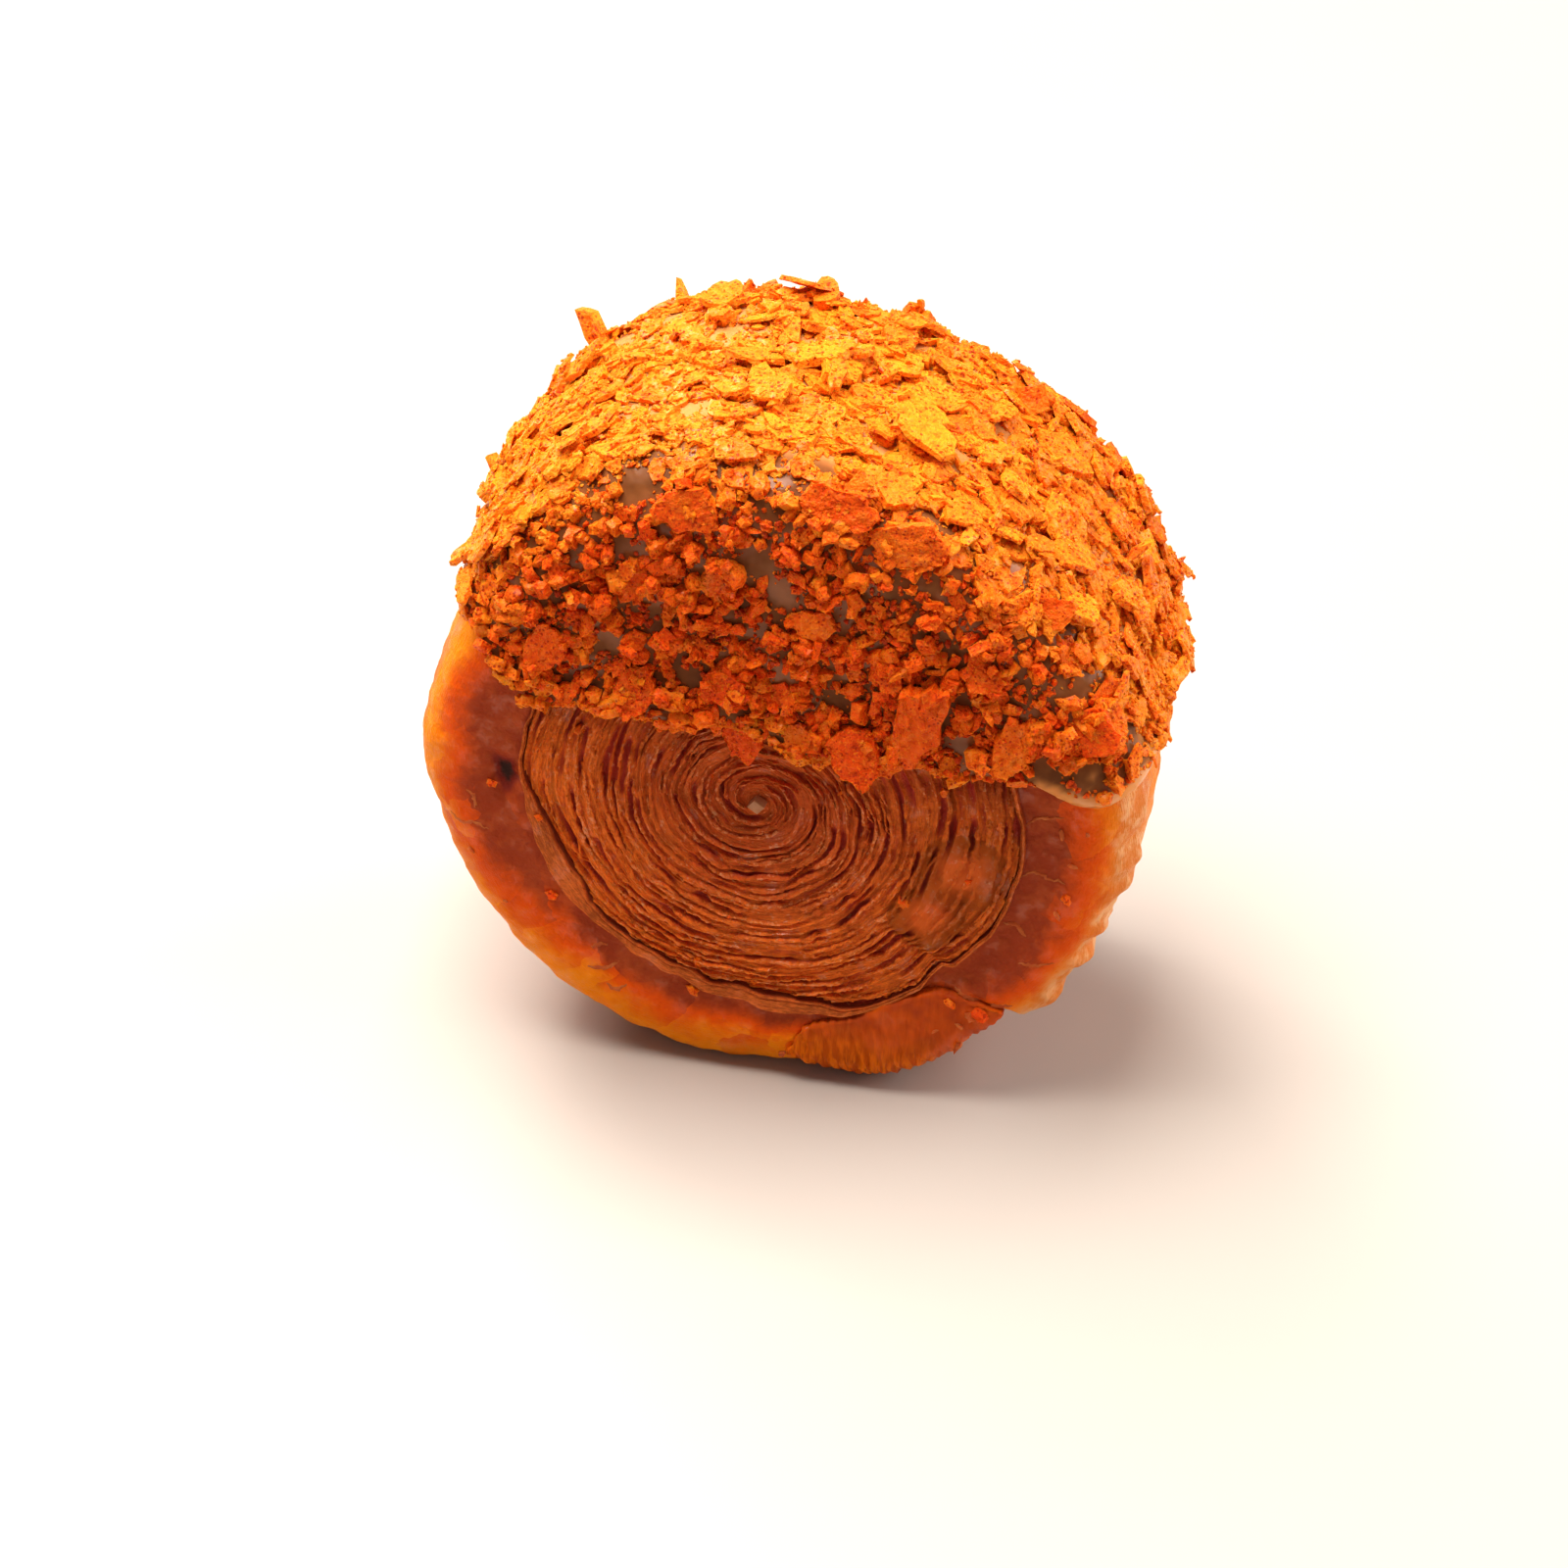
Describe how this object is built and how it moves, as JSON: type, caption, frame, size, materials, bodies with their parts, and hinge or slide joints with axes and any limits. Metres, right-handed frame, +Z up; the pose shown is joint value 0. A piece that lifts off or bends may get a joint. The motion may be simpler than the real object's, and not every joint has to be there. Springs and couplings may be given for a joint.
{
  "type": "rolled croissant",
  "caption": "Rolled croissant standing on its rim, wound layers on both faces, the upper half dipped in caramel glaze and pressed into crisp wafer flakes.",
  "frame": {"origin": "middle of the small flat spot on the rim that the roll rests on", "axes": "+Z up, +Y along the roll's axis from the front face to the back face, +X to the right of the front face as it is seen"},
  "size_m": [0.1027, 0.0603, 0.1028],
  "materials": {
    "pastry": "baked laminated dough, caramel brown with a sticky gloss",
    "coat": "orange wafer flakes, dry and porous, pressed into glossy caramel glaze"
  },
  "bodies": {
    "root": {"pastry_roll": "pastry", "flake_coat": "coat"}
  },
  "joints": []
}
